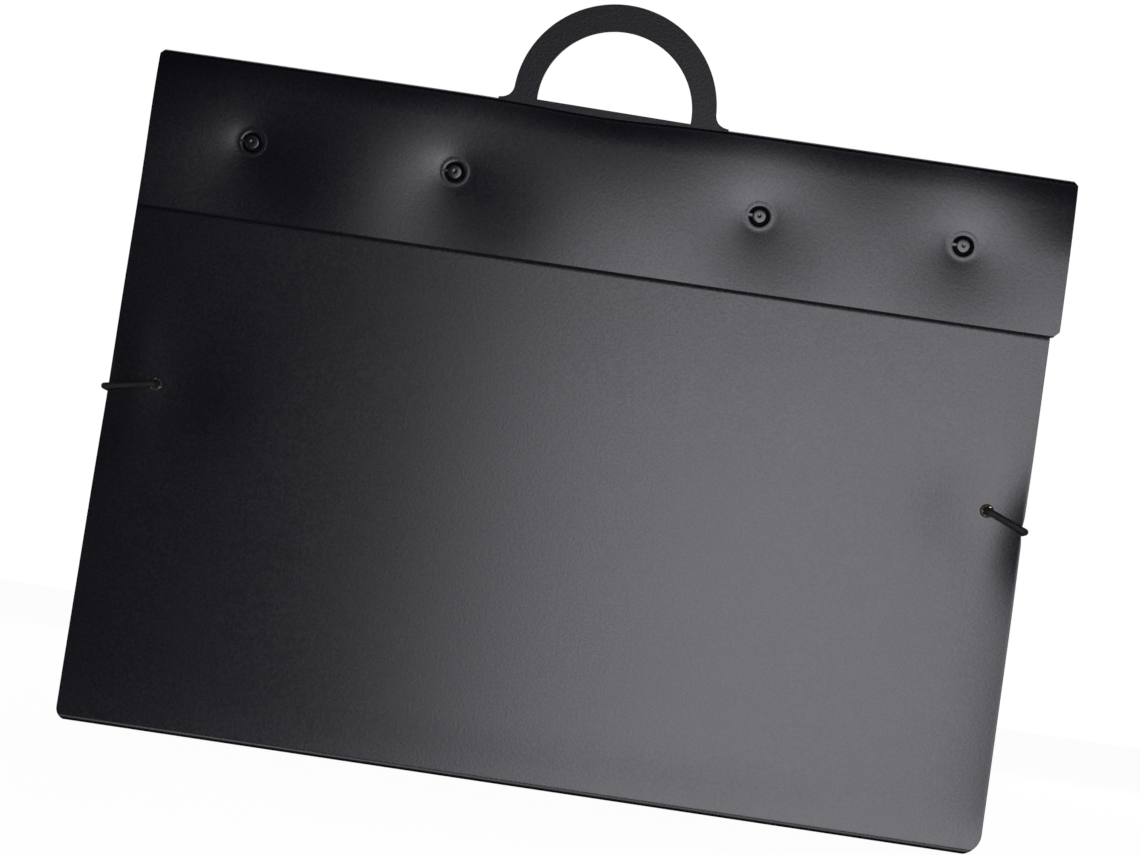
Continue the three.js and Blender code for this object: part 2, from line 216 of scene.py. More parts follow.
soft_panel("strip", (0.39, -1.85, -0.08), (0.39, 0, -0.08), 1.0, 1.85, 15.5, (1.0, 0.98, 1.05))
soft_panel("below", (0.1, -0.55, -0.85), (0.05, 0, 0.1), 1.3, 0.5, 7)
soft_panel("left_fill", (-1.85, -1.35, -0.3), (0, 0, 0.25), 1.0, 1.5, 5)
soft_panel("back_right", (1.6, 1.7, 0.05), (0, 0, 0.25), 1.4, 2.0, 11)
soft_panel("back_left", (-1.7, 1.9, 0.9), (0, 0, 0.25), 1.2, 1.4, 8)
soft_panel("overhead", (0.0, 0.9, 2.2), (0, 0.1, 0.3), 1.6, 0.8, 6)

# %% [markdown]
# ## World and floor
# A white room would be the simplest backdrop, but black board would mirror it and turn grey. So
# the world is white only where the camera sees it, and nearly black in reflections. The floor is
# pale and takes no part in the reflections either.

# %% World and floor
CAMERA_WHITE = 0.985
REFLECTED_GREY = 0.015
world = bpy.data.worlds.new("studio")
bpy.context.scene.world = world
world.use_nodes = True
background = world.node_tree.nodes["Background"]
seen = Socket(world.node_tree).node("ShaderNodeLightPath", "Is Camera Ray")
(seen * CAMERA_WHITE + REFLECTED_GREY).plug(background.inputs["Strength"])
background.inputs["Color"].default_value = (1, 1, 1, 1)

bpy.context.scene.view_settings.view_transform = "Standard"
bpy.context.scene.view_settings.look = "None"

FLOOR_HALF = 8.0
FLOOR_DROP = 0.3 * MM
floor_mesh = bpy.data.meshes.new("floor")
floor_mesh.from_pydata(
    [(-FLOOR_HALF, -FLOOR_HALF, 0), (FLOOR_HALF, -FLOOR_HALF, 0),
     (FLOOR_HALF, FLOOR_HALF, 0), (-FLOOR_HALF, FLOOR_HALF, 0)],
    [],
    [(0, 1, 2, 3)],
)
floor = bpy.data.objects.new("floor", floor_mesh)
bpy.context.collection.objects.link(floor)
floor.location.z = cad_box[0][2] - FLOOR_DROP
floor.visible_glossy = False
floor.visible_diffuse = False
floor.visible_shadow = False
print("floor at", round(floor.location.z, 5))

# %% [markdown]
# ## Patterns for the finishes
# Every finish starts from the same few nodes: a smooth noise in the piece's own metres, a mix of
# two colours and a bump. An image could give a pattern too, but noise needs no unwrapping and
# never repeats.

# %% Patterns
def new_material(name):
    material = bpy.data.materials.new(name)
    material.use_nodes = True
    shader = material.node_tree.nodes["Principled BSDF"]
    root = Socket(material.node_tree)
    place = root.node("ShaderNodeTexCoord", "Object")
    return material, shader, root, place


def noise(root, place, size, detail=2.0, roughness=0.5):
    """Smooth noise about 0.5, with features about `size` metres across."""
    return root.node("ShaderNodeTexNoise", 0, None, {
        "Vector": place, "Scale": 1 / size, "Detail": detail, "Roughness": roughness,
    })


def mixed(root, factor, first, second):
    return root.node("ShaderNodeMix", 2, {"data_type": "RGBA"}, {
        0: factor, 6: (*first, 1), 7: (*second, 1),
    })


def bump(root, shader, height, distance):
    """The height, from 0 to 1, raises the surface by up to `distance` metres."""
    normal = root.node("ShaderNodeBump", 0, None, {
        "Strength": 1.0, "Distance": distance, "Height": height,
    })
    normal.plug(shader.inputs["Normal"])


print("pattern helpers: noise, mixed, bump")

# %% [markdown]
# ## Board
# The board is black through and through, with a fine calendered grain, faint rub marks and a
# slightly uneven sheen. Plain black would look like paint, and a strong bump like leather, so
# three noises change mostly the roughness and the bump stays low. The handle sheet is the same
# stock, a little duller. The flap's lowest strip is duller and darker still: its cut edge is a
# little duller, and the rest is painted shade for the shadow line under the flap. A stud cap has
# the board's own sheen on its rim, and its groove is made nearly black as painted shade for the
# deep hollow.

# %% Board
def board(name, sheen, grain_height, gloss):
    material, shader, root, place = new_material(name)
    cloud = noise(root, place, 90 * MM, 3)
    rubs = noise(root, place, 12 * MM, 4, 0.6)
    grain = noise(root, place, 2.0 * MM, 2, 0.5)
    colour = mixed(root, cloud * 0.4 + grain * 0.6, (0.0014, 0.0013, 0.0038),
                   (0.0026, 0.0024, 0.0054))
    colour.plug(shader.inputs["Base Color"])
    shine = sheen + (cloud - 0.5) * 0.03 + (rubs - 0.5) * 0.03 + (grain - 0.5) * 0.11
    shine.plug(shader.inputs["Roughness"])
    bump(root, shader, grain, grain_height)
    shader.inputs["Specular IOR Level"].default_value = gloss
    return material


SHEET_BOARD = board("board", 0.27, 0.036 * MM, 0.5)
# painted shade: a duller, darker board for the flap's lowest strip, standing in for the shadow line
# under the flap; the cut edge itself is a little duller too
CUT_EDGE_AND_SHADE = board("cut_edge_and_shade", 0.6, 0.05 * MM, 0.12)
HANDLE_BOARD = board("handle_board", 0.40, 0.12 * MM, 0.27)
CAP_RIM = board("stud_rim", 0.27, 0.036 * MM, 0.5)
# painted shade: the groove is made nearly black, for the shadow in its deep hollow
CAP_GROOVE_SHADE = board("stud_groove_shade", 0.6, 0.03 * MM, 0.08)
print("board finishes:", SHEET_BOARD.name, CUT_EDGE_AND_SHADE.name, HANDLE_BOARD.name)

# %% [markdown]
# ## Moulded studs
# A stud cap is glossy in the middle, and the hidden stud pieces are dull. Both are one moulding
# with another roughness, so one function makes them. A thin coat gives the cap its crisp
# highlight, which a lower roughness alone would spread over the whole cap.

# %% Moulded studs
def moulded(name, colour, roughness, coat, relief):
    material, shader, root, place = new_material(name)
    ripple = noise(root, place, 2.2 * MM, 2)
    dust = noise(root, place, 0.5 * MM, 3, 0.7)
    pale = tuple(channel * 1.5 + 0.003 for channel in colour)
    mixed(root, dust * 0.5, colour, pale).plug(shader.inputs["Base Color"])
    (roughness + (ripple - 0.5) * 0.08 + (dust - 0.5) * 0.1).plug(shader.inputs["Roughness"])
    bump(root, shader, ripple, relief)
    shader.inputs["Coat Weight"].default_value = coat
    shader.inputs["Coat Roughness"].default_value = 0.08
    return material


CAP_GLOSS = moulded("stud_cap", (0.004, 0.004, 0.005), 0.24, 0.12, 0.003 * MM)
STUD_DULL = moulded("stud_inner", (0.014, 0.014, 0.015), 0.5, 0.0, 0.02 * MM)
print("moulded finishes:", CAP_GLOSS.name, STUD_DULL.name)

# %% [markdown]
# ## Metal
# The eyelets are worn blackened brass and the barbs are plated steel. Wear could be painted by
# hand, but these pieces are only millimetres wide, so a noise decides where bare metal shows.

# %% Metal
def metal(name, colour, dark, roughness, wear_size, bare):
    material, shader, root, place = new_material(name)
    wear = noise(root, place, wear_size, 4, 0.65)
    scratch = noise(root, place, 0.3 * MM, 2)
    amount = root.node("ShaderNodeMapRange", 0, None, {
        "Value": wear, "From Min": bare, "From Max": bare + 0.1,
    })
    mixed(root, amount, dark, colour).plug(shader.inputs["Base Color"])
    (roughness + (1.0 - amount) * 0.25).plug(shader.inputs["Roughness"])
    shader.inputs["Metallic"].default_value = 1.0
    bump(root, shader, scratch, 0.01 * MM)
    return material


BRASS = metal("eyelet_brass", (0.50, 0.36, 0.16), (0.035, 0.032, 0.030), 0.36, 3.0 * MM, 0.57)
STEEL = metal("barb_steel", (0.46, 0.46, 0.47), (0.30, 0.30, 0.31), 0.28, 2.0 * MM, 0.40)
print("metal finishes:", BRASS.name, STEEL.name)

# %% [markdown]
# ## Elastic
# The cord's cover is matt textile. Its braid is in the mesh, so the finish only adds fine fibres
# and a little dust. A faint sheen lifts the edges, as loose fibres do.

# %% Elastic
def textile(name):
    material, shader, root, place = new_material(name)
    fibre = noise(root, place, 0.25 * MM, 3, 0.7)
    dust = noise(root, place, 4 * MM, 2)
    mixed(root, fibre * 0.6 + dust * 0.4, (0.0022, 0.0022, 0.0026), (0.009, 0.009, 0.010)).plug(
        shader.inputs["Base Color"])
    (0.62 + (fibre - 0.5) * 0.2).plug(shader.inputs["Roughness"])
    bump(root, shader, fibre, 0.08 * MM)
    shader.inputs["Specular IOR Level"].default_value = 0.25
    shader.inputs["Sheen Weight"].default_value = 0.03
    shader.inputs["Sheen Roughness"].default_value = 0.5
    return material


ELASTIC = textile("elastic")
print("textile finish:", ELASTIC.name)

# %% [markdown]
# ## Floor paint
# Strong lamps could keep the floor pale, but the board would mirror them. So the floor glows
# evenly by itself.

# %% Floor paint
floor_material, floor_shader, floor_root, floor_place = new_material("floor_paint")
speck = noise(floor_root, floor_place, 0.3, 3)
mixed(floor_root, speck, (0.05, 0.05, 0.05), (0.06, 0.06, 0.06)).plug(
    floor_shader.inputs["Base Color"])
floor_shader.inputs["Roughness"].default_value = 1.0
floor_shader.inputs["Specular IOR Level"].default_value = 0.0
floor_shader.inputs["Emission Color"].default_value = (1, 1, 1, 1)
floor_shader.inputs["Emission Strength"].default_value = 0.97
floor_mesh.materials.append(floor_material)
print("materials:", len(bpy.data.materials))

# %% [markdown]
# ## A sheet with thickness
# A folded sheet could be a plane with a Solidify modifier. Here it is one grid of points in the
# middle of its thickness, and `shell` gives the grid its two faces and its edge, because the edge
# can then be eased: thinner than the sheet, as a cut edge is.

# %% Sheet
EDGE_SHARE = 0.55  # the outermost row keeps this share of a sheet's thickness
SHARP_DEGREES = 35


def finish_mesh(name, mesh, material, sharp_degrees=SHARP_DEGREES):
    mesh.materials.clear()
    mesh.materials.append(material)
    mesh.polygons.foreach_set("use_smooth", [True] * len(mesh.polygons))
    mesh.set_sharp_from_angle(angle=math.radians(sharp_degrees))
    mesh.update()
    piece = bpy.data.objects.new(name, mesh)
    bpy.context.collection.objects.link(piece)
    return piece


def shell(name, middle, thickness, material):
    rows, columns = middle.shape[:2]
    normal = np.cross(np.gradient(middle, axis=0), np.gradient(middle, axis=1))
    normal /= np.linalg.norm(normal, axis=2, keepdims=True)
    half = np.full((rows, columns, 1), thickness / 2)
    half[[0, -1], :] *= EDGE_SHARE
    half[1:-1, [0, -1]] *= EDGE_SHARE
    points = np.concatenate([(middle + normal * half).reshape(-1, 3),
                             (middle - normal * half).reshape(-1, 3)])
    index = np.arange(rows * columns).reshape(rows, columns)
    under = rows * columns
    quads = np.stack([index[:-1, :-1], index[1:, :-1], index[1:, 1:], index[:-1, 1:]], axis=2)
    quads = quads.reshape(-1, 4)
    rim = np.concatenate([index[0, :-1], index[:-1, -1], index[-1, :0:-1], index[:0:-1, 0]])
    ahead = np.roll(rim, -1)
    walls = np.stack([rim, ahead, ahead + under, rim + under], axis=1)
    faces = np.concatenate([quads, quads[:, ::-1] + under, walls])
    mesh = bpy.data.meshes.new(name)
    mesh.from_pydata(points.tolist(), [], faces.tolist())
    mesh.validate()
    working = bmesh.new()
    working.from_mesh(mesh)
    bmesh.ops.recalc_face_normals(working, faces=working.faces)
    working.to_mesh(mesh)
    working.free()
    return finish_mesh(name, mesh, material)


print("sheet thickness:", SHEET)

# %% [markdown]
# ## Turned pieces
# Studs, eyelets and barbs are round, so each is a profile turned about its axis. A Screw modifier
# could turn it as well; `lathe` also rounds the profile's corners first.

# %% Lathe
def rounded(profile, passes=2):
    """Cuts every corner of an open profile, so the moulding has no knife edges."""
    points = [np.array(point, float) for point in profile]
    for _ in range(passes):
        eased = [points[0]]
        for here, there in zip(points, points[1:]):
            eased += [here * 0.75 + there * 0.25, here * 0.25 + there * 0.75]
        points = eased + [points[-1]]
    return points


def lathe_points(profile, segments):
    angles = np.arange(segments) * 2 * math.pi / segments
    radius = np.array([point[0] for point in profile])[:, None]
    depth = np.array([point[1] for point in profile])[:, None]
    return np.stack([radius * np.cos(angles), depth + 0 * angles, radius * np.sin(angles)], axis=2)


def lathe(name, profile, place, material, segments=72, closed=False, passes=2):
    """Turns a profile of [radius, depth] in mm about the line along Y through `place`."""
    eased = rounded(profile + profile[:1], passes) if closed else rounded(profile, passes)
    rings = lathe_points(eased, segments) * MM
    rings[:, :, 0] += place.x
    rings[:, :, 2] += place.z
    count = len(rings)
    index = np.arange(count * segments).reshape(count, segments)
    right = np.roll(index, -1, axis=1)
    faces = np.stack([index[:-1], index[1:], right[1:], right[:-1]], axis=2).reshape(-1, 4)
    mesh = bpy.data.meshes.new(name)
    mesh.from_pydata(rings.reshape(-1, 3).tolist(), [], faces.tolist())
    working = bmesh.new()
    working.from_mesh(mesh)
    bmesh.ops.remove_doubles(working, verts=working.verts, dist=1e-7)
    bmesh.ops.recalc_face_normals(working, faces=working.faces)
    working.to_mesh(mesh)
    working.free()
    return finish_mesh(name, mesh, material)


print("corners of a square after rounding:", len(rounded([[0, 0], [1, 0], [1, 1], [0, 1]])))

# %% [markdown]
# ## Drilling and cutting
# Holes could be left out of the grid, but then it would need rings of points round each of them.
# `cut` drills or slots the finished sheet with a Boolean instead, and the rest of the grid stays
# even.

# %% Drill and cut
def drill(place, radius, low, high):
    cutter = bmesh.new()
    turn_to_y = Matrix.Rotation(math.pi / 2, 4, "X")
    middle = Vector((place.x, (low + high) / 2, place.z))
    bmesh.ops.create_cone(cutter, cap_ends=True, segments=40, radius1=radius, radius2=radius,
                          depth=high - low, matrix=Matrix.Translation(middle) @ turn_to_y)
    return cutter


def cut(piece, cutters):
    mesh = bpy.data.meshes.new("cutter")
    joined = bmesh.new()
    for cutter in cutters:
        cutter.to_mesh(mesh)
        cutter.free()
        joined.from_mesh(mesh)
    joined.to_mesh(mesh)
    joined.free()
    tool = bpy.data.objects.new("cutter", mesh)
    bpy.context.collection.objects.link(tool)
    modifier = piece.modifiers.new("cut", "BOOLEAN")
    modifier.operation = "DIFFERENCE"
    modifier.solver = "EXACT"
    modifier.object = tool
    evaluated = piece.evaluated_get(bpy.context.evaluated_depsgraph_get())
    result = bpy.data.meshes.new_from_object(evaluated)
    piece.modifiers.clear()
    piece.data = result
    piece.data.set_sharp_from_angle(angle=math.radians(SHARP_DEGREES))
    bpy.data.objects.remove(tool)
    return piece


print("cutting helpers: drill, cut")

# %% [markdown]
# ## Curves for the surfaces
# A bent surface is a sum of simple curves: a soft hump, an easing step, places across a sheet,
# and the arcs and lines of a folded section. Written as functions, they can be used on whole
# grids at once.

# %% Curves
def bump_shape(value, reach):
    """1 at nought, easing to nothing at about `reach`."""
    return np.exp(-((value / reach) ** 2))


def ease(value):
    value = np.clip(value, 0, 1)
    return value * value * (3 - 2 * value)


def across(left, right, count):
    """Places from left to right, close together at both edges."""
    inner = np.linspace(left + 3 * MM, right - 3 * MM, count)
    near = np.array([0, 0.25, 0.8, 1.7]) * MM
    return np.concatenate([left + near, inner, right - near[::-1]])


def arc(centre_y, centre_z, radius, start, end, steps=10):
    angles = np.radians(np.linspace(start, end, steps + 1)[1:-1])
    return [(centre_y + radius * math.cos(a), centre_z + radius * math.sin(a)) for a in angles]


def line(first, last, step):
    count = max(2, int(round(math.dist(first, last) / step)) + 1)
    return list(zip(np.linspace(first[0], last[0], count), np.linspace(first[1], last[1], count)))


print("hump at its reach:", round(float(bump_shape(1.0, 1.0)), 3))

# %% [markdown]
# ## Body: back, base and front in one folded board
# On the real case this is one creased board. Three flat plates would open at the creases when the
# front leans out, so one sheet runs down the back, round the rear fold, under the base, round the
# front fold and up the front.

# %% Section of the body
SEAM = CASE_TOP - 3.2 * MM
REAR_FOLD = 2.2 * MM
FRONT_FOLD = 4.0 * MM
back_mid = BACK_OUTER - SHEET / 2
front_mid = FRONT_OUTER + SHEET / 2
base_mid = SHEET / 2

path = line((back_mid, SEAM), (back_mid, base_mid + REAR_FOLD), 4 * MM)
path += arc(back_mid - REAR_FOLD, base_mid + REAR_FOLD, REAR_FOLD, 0, -90)
path += line((back_mid - REAR_FOLD, base_mid), (front_mid + FRONT_FOLD, base_mid), 1 * MM)
path += arc(front_mid + FRONT_FOLD, base_mid + FRONT_FOLD, FRONT_FOLD, 270, 180, 14)
path += line((front_mid, base_mid + FRONT_FOLD), (front_mid, 30 * MM), 2 * MM)
path += line((front_mid, 33 * MM), (front_mid, FRONT_TOP - 3 * MM), 3 * MM)
path += line((front_mid, FRONT_TOP - 1 * MM), (front_mid, FRONT_TOP), 0.75 * MM)
path = np.array(path)
print("points in the section:", len(path))

# %% [markdown]
# ## Outline of the body
# Every row of the grid gets its own left and right end. That rounds the lower corners and slants
# the upper ones. Cutting the corners off afterwards would leave them without the eased edge.

# %% Outline of the body
LEFT_CORNER = 8 * MM
RIGHT_CORNER = 15 * MM
RIGHT_SPREAD = 1.1 * MM  # the board is this much wider than the CAD's, except at the cord
SPREAD_GAP = 6 * MM
TOP_CUT = 4 * MM  # slanted cut at the upper corners
BODY_COLUMNS = 210
left_eyelet = centre("eyelet_front_left")
right_eyelet = centre("eyelet_front_right")
left_edge = Vector((PANEL_LEFT, 0, 0.2332))
right_edge = Vector((PANEL_RIGHT, 0, 0.2260))


def corner_inset(height, radius):
    drop = np.clip(radius - height, 0, radius)
    return radius - np.sqrt(radius**2 - drop**2)


height = path[:, 1]
on_back = path[:, 0] > 0
top_of_row = np.where(on_back, CASE_TOP, FRONT_TOP)
top_inset = np.clip(height - (top_of_row - TOP_CUT), 0, TOP_CUT)
row_left = PANEL_LEFT + corner_inset(height, LEFT_CORNER) + top_inset
row_right = PANEL_RIGHT - corner_inset(height, RIGHT_CORNER) - top_inset
row_right += RIGHT_SPREAD * (1 - bump_shape(height - right_edge.z, SPREAD_GAP))
unit = (across(PANEL_LEFT, PANEL_RIGHT, BODY_COLUMNS) - PANEL_LEFT) / (PANEL_RIGHT - PANEL_LEFT)
grid_x = row_left[:, None] + (row_right - row_left)[:, None] * unit[None, :]
grid_y = np.repeat(path[:, 0:1], grid_x.shape[1], axis=1)
grid_z = np.repeat(path[:, 1:2], grid_x.shape[1], axis=1)
print("width of the front:", round(float(np.ptp(grid_x)), 4))

# %% [markdown]
# ## Bow of the front
# The front bows forward, and each side cord holds it near its eyelet and draws the edge back. A
# simulation would have to guess the board's stiffness. A sum of soft humps puts every bend where
# it belongs and is the same on each run.

# %% Bow of the front
BOW = 5.0 * MM
BOW_RISE = 50 * MM  # the bow grows from the base up to this height
BOW_END = 440 * MM  # and has gone again here, after easing off for BOW_FALL
BOW_FALL = 220 * MM
RIGHT_BOW_LOSS = 0.92  # share of the bow that is lost by the right edge
LEFT_BOW_POWER = 2.6
RIGHT_BOW_POWER = 2.4
EDGE_LIFT = 0.4 * MM
HOLD_REACH = 36 * MM
HOLD_WIDTH = 5 * MM  # the front is held flat this far to either side of a cord
PINCH = 1.9 * MM
PINCH_REACH = 24 * MM
LEFT_PINCH_HEIGHT = 45 * MM
RIGHT_PINCH_HEIGHT = 38 * MM
EDGE_ROLL = 1.1 * MM  # the right edge also curls back below its cord
ROLL_WIDTH = 50 * MM
ROLL_TOP = 310 * MM
ROLL_FADE = 120 * MM

from_left = grid_x - PANEL_LEFT
from_right = PANEL_RIGHT - grid_x


def held_by(eyelet, cord_edge, inward):
    """1 along a cord's run from its eyelet to the panel's edge, easing to 0 away from it."""
    along_run = (grid_x - cord_edge.x) / (eyelet.x - cord_edge.x)
    run_z = cord_edge.z + (eyelet.z - cord_edge.z) * np.clip(along_run, 0, 1)
    inside = np.clip(inward * (grid_x - eyelet.x), 0, None)
    distance = np.hypot(inside, grid_z - run_z)
    return bump_shape(np.clip(distance - HOLD_WIDTH, 0, None), HOLD_REACH)


held = np.maximum(held_by(left_eyelet, left_edge, 1), held_by(right_eyelet, right_edge, -1))
clear_of_ends = ease(grid_z / BOW_RISE) * ease((BOW_END - grid_z) / BOW_FALL)
half = np.abs(grid_x / -PANEL_LEFT)
left_bow = BOW * (1 - half**LEFT_BOW_POWER)
right_bow = BOW * (1 - RIGHT_BOW_LOSS * half**RIGHT_BOW_POWER)
bow = np.where(grid_x < 0, left_bow, right_bow)
bow += EDGE_LIFT * (bump_shape(from_left, 50 * MM) + bump_shape(from_right, 40 * MM))
forward = bow * clear_of_ends * (1 - held)
near_left = np.clip(1 - from_left / PINCH_REACH, 0, 1) ** 2
near_right = np.clip(1 - from_right / PINCH_REACH, 0, 1) ** 2
turned_back = PINCH * near_left * bump_shape(grid_z - left_edge.z, LEFT_PINCH_HEIGHT)
turned_back += PINCH * near_right * bump_shape(grid_z - right_edge.z, RIGHT_PINCH_HEIGHT)
rolled = np.clip(1 - from_right / ROLL_WIDTH, 0, 1) ** 2
turned_back += EDGE_ROLL * rolled * ease((ROLL_TOP - grid_z) / ROLL_FADE) * ease(grid_z / 0.03)
grid_y = np.where(on_back[:, None], grid_y, grid_y - forward + turned_back)
print("deepest bow:", round(float(forward.max()), 4))

# %% [markdown]
# ## Making the body
# The holes for cords and posts are drilled through the bent sheet.

# %% Make the body
CORD_HOLE = 3.5 * MM
POST_HOLE = 2.3 * MM
CUTTER_REACH = 20 * MM

body_sheet = shell("body_sheet", np.stack([grid_x, grid_y, grid_z], axis=2), SHEET, SHEET_BOARD)
both_eyelets = (left_eyelet, right_eyelet)
holes = [drill(place, CORD_HOLE, -CUTTER_REACH, CUTTER_REACH) for place in both_eyelets]
holes += [drill(place, POST_HOLE, -CUTTER_REACH, 0.0) for place in STUDS]
cut(body_sheet, holes)
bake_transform(body_sheet)
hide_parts("back_panel", "base_panel", "front_panel")
print("body sheet faces:", len(body_sheet.data.polygons))

# %% [markdown]
# ## Flap: top and front in one folded board
# The flap leans back towards its top fold, most of all at the right corner. Around each stud the
# board is pressed in, because the short stud pulls it towards the front panel, so a wide soft
# dimple ends in a flat seat for the cap. Sculpting could shape this. A formula for the depth
# keeps the four dimples alike and on their studs.

# %% Face of the flap
TOP_LEAN = math.radians(5.2)
TOP_ROLL = 1.2 * MM
ROLL_REACH = 22 * MM
CORNER_BACK = 2.4 * MM
RIGHT_CORNER_FROM = 230 * MM
LEFT_CORNER_FROM = -240 * MM
CORNER_UP_FROM = 415 * MM
BOTTOM_LEAN = math.radians(-0.3)
BOTTOM_STAND = 1.8 * MM
SEAT_RADIUS = 11 * MM
DIMPLE_REACH = 16 * MM
VALLEY = 0.9  # a dimple reaches further up and down than sideways
SKEW = 0.2  # and further to the lower right than to the upper left
WIDE_SHARE = 0.55
WIDE_REACH_X = 55 * MM
WIDE_REACH_Z = 78 * MM
flap_low_y = FLAP_OUTER - BOTTOM_STAND + SHEET / 2


def flap_lean(z):
    """How far back the flap's face lies from its lowest part, at height z."""
    up = np.clip(z - FLAP_BOTTOM, 0, None)
    return BOTTOM_LEAN * up + (TOP_LEAN - BOTTOM_LEAN) * up**2 / (2 * (CASE_TOP - FLAP_BOTTOM))


def flap_face(x, z):
    """Depth of the flap sheet's middle at x and z, with its leans and its four dimples."""
    depth = flap_low_y + flap_lean(z)
    depth = depth + TOP_ROLL * np.clip(1 - (CASE_TOP - z) / ROLL_REACH, 0, 1) ** 2
    corner = ease((x - RIGHT_CORNER_FROM) / 0.11) + 0.5 * ease((LEFT_CORNER_FROM - x) / 0.10)
    depth = depth + CORNER_BACK * corner * ease((z - CORNER_UP_FROM) / 0.06)
    for place in STUDS:
        aside = x - place.x
        above = z - place.z
        distance = np.maximum(np.hypot(aside, above), 1e-6)
        stretched = np.hypot(aside, VALLEY * above)
        skew = 1 + SKEW * (0.7 * aside - 0.7 * above) / distance
        reach = np.clip(distance - SEAT_RADIUS, 0, None) * stretched / distance / skew
        near = np.exp(-reach / DIMPLE_REACH)
        wide = bump_shape(aside, WIDE_REACH_X) * bump_shape(above, WIDE_REACH_Z)
        depth = depth + (DISH_FLOOR + SHEET / 2 - depth) * (near + (1 - near) * WIDE_SHARE * wide)
    return depth


print("depth of the flap between two studs:", round(float(flap_face(0.0, STUDS[0].z)), 4))

# %% [markdown]
# ## Section of the flap
# The path starts on the back panel, turns over the hinge fold, runs along the top and turns down
# the front. Even steps would waste points on flat parts, so the rows lie closest at the folds and
# at the cut edge.

# %% Section of the flap
TOP_FOLD = 3.0 * MM
HINGE_FOLD = 2.0 * MM
# the flap's lowest band, painted shade for the shadow line under its edge, gets its own rows
SHADED_CUT_BAND = 1.1 * MM
top_mid = CASE_TOP - SHEET / 2
flap_top_y = float(flap_low_y + flap_lean(CASE_TOP - TOP_FOLD))
flap_top_y += TOP_ROLL * (1 - TOP_FOLD / ROLL_REACH) ** 2
flap_path = line((back_mid, SEAM + 0.25 * MM), (back_mid, top_mid - TOP_FOLD + 1.2 * MM), 0.4 * MM)
flap_path = flap_path[:-1]
flap_path += arc(back_mid - HINGE_FOLD, top_mid - HINGE_FOLD, HINGE_FOLD, 0, 90)
flap_path += line((back_mid - HINGE_FOLD, top_mid), (flap_top_y + TOP_FOLD, top_mid), 1.5 * MM)
flap_path += arc(flap_top_y + TOP_FOLD, top_mid - TOP_FOLD, TOP_FOLD, 90, 180, 12)
front_rows = len(flap_path)
flap_path += line((0, top_mid - TOP_FOLD), (0, FLAP_BOTTOM + SHADED_CUT_BAND), 1.6 * MM)
flap_path += line((0, FLAP_BOTTOM + 0.6 * MM), (0, FLAP_BOTTOM), 0.3 * MM)
flap_path = np.array(flap_path)
on_front = np.arange(len(flap_path)) >= front_rows
print("points in the section:", len(flap_path))

# %% [markdown]
# ## Outline of the flap and its dip
# The flap reaches past the panels at the right, and its left end draws in a little towards the
# bottom. Between the handle's legs the top fold dips, because the slot leaves it weaker there.
# The dip is added to the height of the grid, so it fades into the face and the top alike.

# %% Outline of the flap
HANDLE_MIDDLE = (handle_low.x + handle_high.x) / 2
FLAP_COLUMNS = 330
FLAP_LEFT = flap_low.x
FLAP_RIGHT = flap_high.x
LOW_CORNER = 4.5 * MM
LEFT_TAPER = 1.7 * MM
TOP_CORNER = 3.5 * MM
SEAM_INSET = 2.6 * MM
LEGS_HALF = 78 * MM
DIP = 2.6 * MM
DIP_CHANGE = 0.9 * MM  # the dip is deeper at the left leg and shallower at the right
DIP_FADE = 26 * MM

height = flap_path[:, 1]
right_inset = np.where(on_front, np.clip(LOW_CORNER - (height - FLAP_BOTTOM), 0, None), 0)
rounding = np.clip(height - (CASE_TOP - TOP_CORNER), 0, None)
top_inset = np.where(on_front | (flap_path[:, 0] < 0), rounding, 3.2 * MM)
seam_share = ease((flap_path[:, 0] - back_mid + 8 * MM) / (8 * MM))
row_left = FLAP_LEFT + top_inset + LEFT_TAPER * ease((CASE_TOP - height) / 0.11) * on_front
row_right = FLAP_RIGHT - top_inset - right_inset - seam_share * SEAM_INSET
unit = (across(FLAP_LEFT, FLAP_RIGHT, FLAP_COLUMNS) - FLAP_LEFT) / (FLAP_RIGHT - FLAP_LEFT)
grid_x = row_left[:, None] + (row_right - row_left)[:, None] * unit[None, :]
grid_z = np.repeat(flap_path[:, 1:2], grid_x.shape[1], axis=1)
grid_y = np.repeat(flap_path[:, 0:1], grid_x.shape[1], axis=1)

fold_shift = flap_face(grid_x, top_mid - TOP_FOLD) - flap_top_y
fold_share = ease((back_mid - grid_y) / (back_mid - flap_top_y))
grid_y = np.where(on_front[:, None], flap_face(grid_x, grid_z), grid_y + fold_shift * fold_share)

along_legs = (grid_x - HANDLE_MIDDLE) / LEGS_HALF
between = bump_shape(along_legs, 1.0) ** 2
dip = (DIP - DIP_CHANGE * np.clip(along_legs, -1, 1)) * between
fade = np.where(
    on_front[:, None],
    ease((grid_z - (CASE_TOP - DIP_FADE)) / DIP_FADE),
    ease((10 * MM - grid_y) / (20 * MM)),
)
grid_z = grid_z - dip * fade
print("deepest dip:", round(float(dip.max()), 4))

# %% [markdown]
# ## Making the flap
# The slot for the handle and the holes for the caps are cut through the bent sheet. The faces
# along the lower cut edge get the duller, darker finish: partly for the duller cut edge, partly as
# painted shade for the shadow line under the flap.

# %% Make the flap
CAP_HOLE = 8.5 * MM
SLOT_HALF = 81.9 * MM
SLOT_WIDTH = 2.8 * MM

flap_sheet = shell("flap_sheet", np.stack([grid_x, grid_y, grid_z], axis=2), SHEET, SHEET_BOARD)
slot = bmesh.new()
slot_y = (handle_low.y + handle_high.y) / 2
slot_box = Matrix.Translation((HANDLE_MIDDLE, slot_y, CASE_TOP)) @ Matrix.Diagonal(
    (2 * SLOT_HALF, SLOT_WIDTH, 24 * MM, 1))
bmesh.ops.create_cube(slot, size=1.0, matrix=slot_box)
cut(flap_sheet, [slot] + [drill(place, CAP_HOLE, -0.03, 0.0) for place in STUDS])
